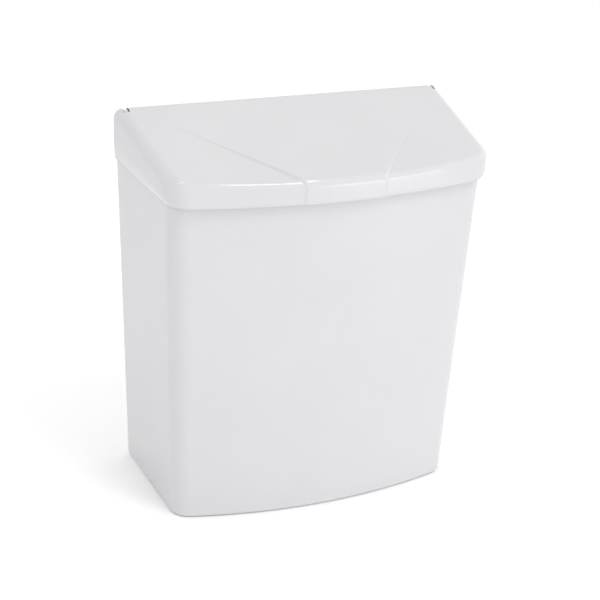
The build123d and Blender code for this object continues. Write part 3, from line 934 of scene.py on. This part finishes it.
def build_bag(size, finish):
    """Bag: one sheet of film that hangs inside the liner and turns over its rim as a cuff.

    Rings follow the liner's outline. Below the rim each is moved in or out by a sum of waves that
    run round and down the bag with seeded phases, sharpened so that the film shows narrow creases
    between flat facets. The waves fade out where the frame and the rim hold the film.
    """
    rng = np.random.default_rng(7)
    cuff_x = CUFF_INSET + 0.2
    profile = [(cuff_x, z) for z in np.linspace(BAG_TOP_Z - CUFF_DROP, BAG_TOP_Z - 1.0, 6)]
    profile += [(cuff_x + 0.4, BAG_TOP_Z - 0.3), (cuff_x + 1.2, BAG_TOP_Z - 0.12),
                (BAG_INSET - 0.8, BAG_TOP_Z - 0.12), (BAG_INSET - 0.1, BAG_TOP_Z - 0.5)]
    profile += [(BAG_INSET + 0.1, z) for z in np.linspace(BAG_TOP_Z - 3, 14, 64)]
    r = BAG_FOOT_R
    profile += [(BAG_INSET + r * (1 - cos(a)), BAG_FLOOR_Z + r * (1 - sin(a)))
                for a in np.linspace(0.1, pi / 2, 8)]
    x, d, z = liner_rows(profile, plain_spread(2))
    stations = x.shape[1]
    round_u = np.arange(stations) / stations
    waves = np.zeros_like(x)
    for turns, down, size_mm in FOLD_WAVES:
        phase = rng.uniform(0, 2 * pi)
        bendy = 0.6 * np.sin(z / rng.uniform(22, 40) + rng.uniform(0, 6))
        waves += size_mm * np.abs(np.sin(pi * turns * round_u + down * z / 120 + bendy + phase))
    waves = waves / FOLD_SUM - FOLD_MEAN
    free = np.clip((BAG_TOP_Z - 14 - z) / 30, 0, 1) * np.clip((z - 4) / 12, 0, 1)
    inside = np.arange(len(profile))[:, None] >= 10
    depth = waves * free * inside * size.fold_depth / MM
    centre_d = BAG_CENTRE_DEPTH
    away = np.hypot(x, d - centre_d)
    x, d = x - depth * x / away, d - depth * (d - centre_d) / away
    floor_x, floor_d = x[-1], d[-1]
    rows = [at(x, d, z)]
    for share in (0.85, 0.7, 0.55, 0.4, 0.25, 0.1):
        lump = 1.2 * np.abs(np.sin(floor_x / 13 + 4 * share) * np.sin(floor_d / 11 + 7 * share))
        rows.append(at(floor_x * share, centre_d + (floor_d - centre_d) * share, BAG_FLOOR_Z + lump)[None])
    grid_rows = np.concatenate(rows)
    grid = around(len(grid_rows), stations)
    shell = welded(grid_rows, quads(grid), (grid[-1, :-1],))
    bag = mesh_object("bag", [shell])
    skin = bag.modifiers.new("film", "SOLIDIFY")
    skin.thickness, skin.offset = size.film, 0.0
    return finished(bag, blown_film(finish.film), "liner", ["waste_bag"], sharp=80)


def build_bag_frame(finish):
    """Bag frame: a flat ring with a skirt inside it, carried round the liner's outline."""
    out, top, low = LINER_INSET - LINER_FLANGE, FRAME_TOP_Z, BAG_TOP_Z
    end, inner, foot = FRAME_INSET + FRAME_WALL, FRAME_INSET, BAG_TOP_Z - FRAME_SKIRT
    profile = [(out, low + 0.4), (out, top - 0.7), (out + 0.2, top - 0.2), (out + 0.7, top),
               (end - 1.2, top), (end - 0.35, top - 0.35), (end, top - 1.2), (end, foot + EASE),
               (end - EASE, foot), (inner + EASE, foot), (inner, foot + EASE), (inner, low - 0.8),
               (inner - 0.4, low), (out + 0.4, low)]
    ring_piece = mesh_object("bag_ring", [looped(at(*liner_rows(profile, plain_spread())))])
    look = textured_polypropylene(finish.liner)
    return finished(ring_piece, look, "liner", ["bag_frame"])


def build_fittings(finish):
    """The hinge pins, bumpers and tape pads keep their CAD meshes in better materials."""
    steel, rubber = drawn_steel(finish.steel), moulded_rubber(finish.rubber)
    foam = cut_foam(finish.foam)
    for side in ("left", "right"):
        repaint("hinge_pin_" + side, steel)
        repaint("lid_bumper_" + side, rubber)
        repaint("tape_pad_" + side, foam)


# ---------------- studio


def placed(name, data, place, axes):
    """An object whose own X, Y and Z point along the three given axes."""
    item = bpy.data.objects.new(name, data)
    item.matrix_world = Matrix.Translation(Vector(place)) @ Matrix(axes).transposed().to_4x4()
    bpy.context.scene.collection.objects.link(item)
    return item


def build_floor(finish):
    """A paper disc whose rings are circles about the bin, just under its base."""
    count, radius = 96, np.array([400.0, 1500.0, 6000.0])[:, None]
    angle = np.linspace(0, 2 * pi, count, endpoint=False)
    rows = np.stack([radius * np.cos(angle), radius * np.sin(angle), 0 * radius * angle - 0.3], axis=-1)
    grid = around(3, count)
    floor = mesh_object("floor", [welded(rows, quads(grid[::-1]), (grid[0, :-1],))])
    floor.data.materials.append(studio_paper(finish.paper))


def build_surround():
    """A bright even surround, a little darker above and on the left."""
    world = bpy.data.worlds.new("even_surround")
    world.use_nodes = True
    tree = world.node_tree
    sky = tree.nodes["Background"]
    sky.inputs["Color"].default_value = (0.99, 0.99, 1.0, 1.0)
    way = add(tree, "ShaderNodeTexCoord").outputs["Generated"]
    lean = add(tree, "ShaderNodeVectorMath", {"operation": "DOT_PRODUCT"})
    tree.links.new(way, lean.inputs[0])
    lean.inputs[1].default_value = (0.20, 0.0, -0.34)
    level = add(tree, "ShaderNodeMath", {"operation": "ADD"})
    tree.links.new(lean.outputs["Value"], level.inputs[0])
    level.inputs[1].default_value = 1.22
    tree.links.new(level.outputs["Value"], sky.inputs["Strength"])
    bpy.context.scene.world = world


# name, place, target, direction of the long side, its two sizes, watts and colour
LAMPS = (
    ("overhead_box", (0.30, -0.74, 1.60), (0, 0, 0.28), (0, 1, 0), 0.42, 0.45, 4.6, (1.0, 1.0, 1.0)),
    ("crease_strip", (-0.68, -0.18, 1.63), (-0.045, -0.115, 0.28), (0.78, 0.56, 0.28),
     0.12, 1.6, 3.0, (1.0, 1.0, 1.0)),
    ("corner_box", (-0.75, -1.30, 0.14), (0, 0, 0.10), (0, 0, 1), 0.7, 0.25, 1.2, (0.90, 0.92, 1.0)),
    ("foot_box", (0.50, -0.80, 0.06), (0.05, -0.13, 0.0), (0, 0, 1), 0.5, 0.1, 1.1, (0.90, 0.92, 1.0)),
)


def build_lamps():
    """Four area lamps.

    One above draws the thin light along the lid's front edge, a strip the one along its left
    crease. Two low ones lift the corner and the foot.
    """
    for name, place, target, along, wide, tall, power, colour in LAMPS:
        light = bpy.data.lights.new(name, "AREA")
        light.shape, light.size, light.size_y = "RECTANGLE", wide, tall
        light.energy, light.color = power, colour
        away = (Vector(place) - Vector(target)).normalized()
        across = Vector(along).cross(away).normalized()
        placed(name, light, place, (across, away.cross(across), away))


def build_camera():
    """A long lens that looks down on the bin from its left."""
    azimuth, elevation, roll = radians(-24.12), radians(24.65), radians(3.18)
    back = Vector((sin(azimuth) * cos(elevation), -cos(azimuth) * cos(elevation), sin(elevation)))
    flat = Vector((cos(azimuth), sin(azimuth), 0.0))
    above = back.cross(flat)
    right = cos(roll) * flat + sin(roll) * above
    up = cos(roll) * above - sin(roll) * flat
    target, distance = Vector((0.0, 0.0085, 0.160)), 1.20887
    data = bpy.data.cameras.new("camera")
    data.sensor_fit, data.sensor_width, data.lens = "HORIZONTAL", 36.0, 91.48
    data.clip_start, data.clip_end = 0.05, 50.0
    place = target + 0.00099 * right - 0.00949 * up + distance * back
    bpy.context.scene.camera = placed("camera", data, place, (right, up, back))


def build_stage(finish):
    """Pale paper floor, even studio light and the camera."""
    build_floor(finish)
    build_surround()
    build_lamps()
    build_camera()
    bpy.context.scene.view_settings.view_transform = "Standard"


# ---------------- operators and panel


class Step:
    """Shared by the operators: calls the builder with the property groups that it takes."""

    def execute(self, context):
        self.build(*(getattr(context.scene, name) for name in self.takes))
        return {"FINISHED"}


class WASTEBIN_OT_casing(Step, bpy.types.Operator):
    """Build the moulded casing with its lugs, screw bosses and screw holes"""

    bl_idname, bl_label = "wastebin.casing", "Casing"
    build, takes = staticmethod(build_casing), ("bin_casing", "bin_finishes")


class WASTEBIN_OT_lid(Step, bpy.types.Operator):
    """Build the hinged lid with its grip panel, cheeks and barrel"""

    bl_idname, bl_label = "wastebin.lid", "Lid"
    build, takes = staticmethod(build_lid), ("bin_lid", "bin_finishes")


class WASTEBIN_OT_liner(Step, bpy.types.Operator):
    """Build the lift-out liner with its hand slots"""

    bl_idname, bl_label = "wastebin.liner", "Liner"
    build, takes = staticmethod(build_liner), ("bin_finishes",)


class WASTEBIN_OT_bag(Step, bpy.types.Operator):
    """Build the film bag with its cuff over the liner's rim"""

    bl_idname, bl_label = "wastebin.bag", "Bag"
    build, takes = staticmethod(build_bag), ("bin_bag", "bin_finishes")


class WASTEBIN_OT_bag_frame(Step, bpy.types.Operator):
    """Build the ring that holds the bag's cuff down"""

    bl_idname, bl_label = "wastebin.bag_frame", "Bag frame"
    build, takes = staticmethod(build_bag_frame), ("bin_finishes",)


class WASTEBIN_OT_fittings(Step, bpy.types.Operator):
    """Give the hinge pins, bumpers and tape pads their materials"""

    bl_idname, bl_label = "wastebin.fittings", "Pins, bumpers and tape"
    build, takes = staticmethod(build_fittings), ("bin_finishes",)


class WASTEBIN_OT_stage(Step, bpy.types.Operator):
    """Build the floor, the lights and the camera"""

    bl_idname, bl_label = "wastebin.stage", "Studio"
    build, takes = staticmethod(build_stage), ("bin_finishes",)


OPERATORS = (WASTEBIN_OT_stage, WASTEBIN_OT_casing, WASTEBIN_OT_lid, WASTEBIN_OT_liner,
             WASTEBIN_OT_bag, WASTEBIN_OT_bag_frame, WASTEBIN_OT_fittings)
GROUPS = {"bin_lid": LidShape, "bin_casing": CasingShape, "bin_bag": BagShape, "bin_finishes": Finishes}


class WASTEBIN_PT_sidebar(bpy.types.Panel):
    """Sizes, colours and building steps of the waste bin"""

    bl_idname = "WASTEBIN_PT_sidebar"
    bl_label = "Waste bin"
    bl_space_type = "VIEW_3D"
    bl_region_type = "UI"
    bl_category = "Waste bin"

    def draw(self, context):
        for name, group in GROUPS.items():
            box = self.layout.box()
            for field in group.__annotations__:
                box.prop(getattr(context.scene, name), field)
        for operator in OPERATORS:
            self.layout.operator(operator.bl_idname)


def register():
    for item in list(GROUPS.values()) + list(OPERATORS) + [WASTEBIN_PT_sidebar]:
        bpy.utils.register_class(item)
    for name, group in GROUPS.items():
        setattr(bpy.types.Scene, name, PointerProperty(type=group))


def unregister():
    for name in GROUPS:
        delattr(bpy.types.Scene, name)
    for item in [WASTEBIN_PT_sidebar] + list(OPERATORS)[::-1] + list(GROUPS.values())[::-1]:
        bpy.utils.unregister_class(item)


def main():
    """Registers the add-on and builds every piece."""
    register()
    for operator in OPERATORS:
        group, name = operator.bl_idname.split(".")
        getattr(getattr(bpy.ops, group), name)()


if __name__ == "__main__":
    main()
